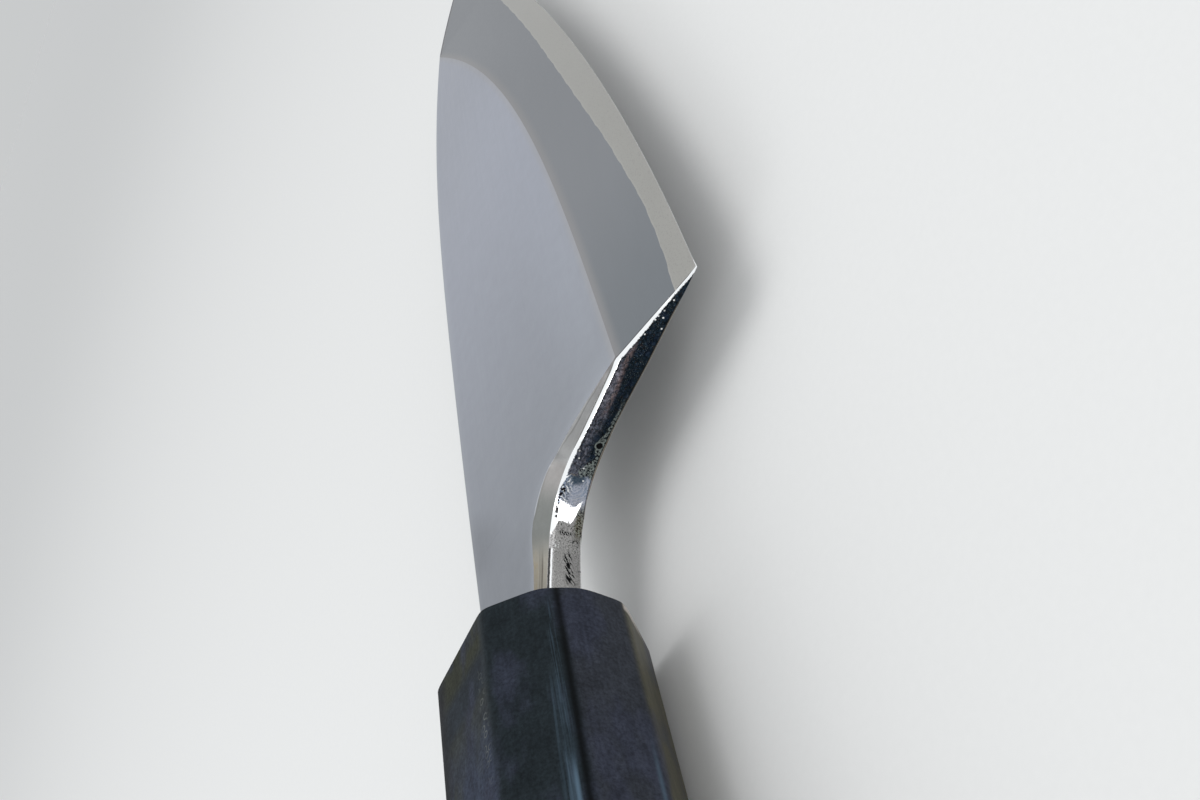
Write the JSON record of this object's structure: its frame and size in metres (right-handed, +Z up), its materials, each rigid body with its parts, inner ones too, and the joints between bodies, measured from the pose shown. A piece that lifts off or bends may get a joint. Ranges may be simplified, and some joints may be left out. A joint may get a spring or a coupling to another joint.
{
  "type": "kitchen knife",
  "caption": "Thick single-bevel kitchen knife with a pointed blade, a heel cut back to a finger gap and an eight-sided handle with a ferrule.",
  "frame": {"origin": "centre of the knife's box, at its lowest level, with the knife lying on its side and the flat back down", "axes": "+X along the handle towards the tip, +Y towards the spine, +Z up, out of the bevelled face"},
  "size_m": [0.34, 0.061, 0.0262],
  "materials": {
    "soft_iron": "fine satin grind, mirror polish on the heel face",
    "edge_steel": "fine stone-ground haze",
    "black_horn": "polished black horn",
    "dark_wood": "smooth oiled dark wood",
    "dowel_wood": "plain turned wood",
    "black_resin": "set resin"
  },
  "bodies": {
    "root": {"iron_blade_and_tang": "soft_iron", "edge_steel": "edge_steel", "horn_ferrule": "black_horn", "grip": "dark_wood", "handle_dowel": "dowel_wood", "tang_seal": "black_resin"}
  },
  "joints": []
}
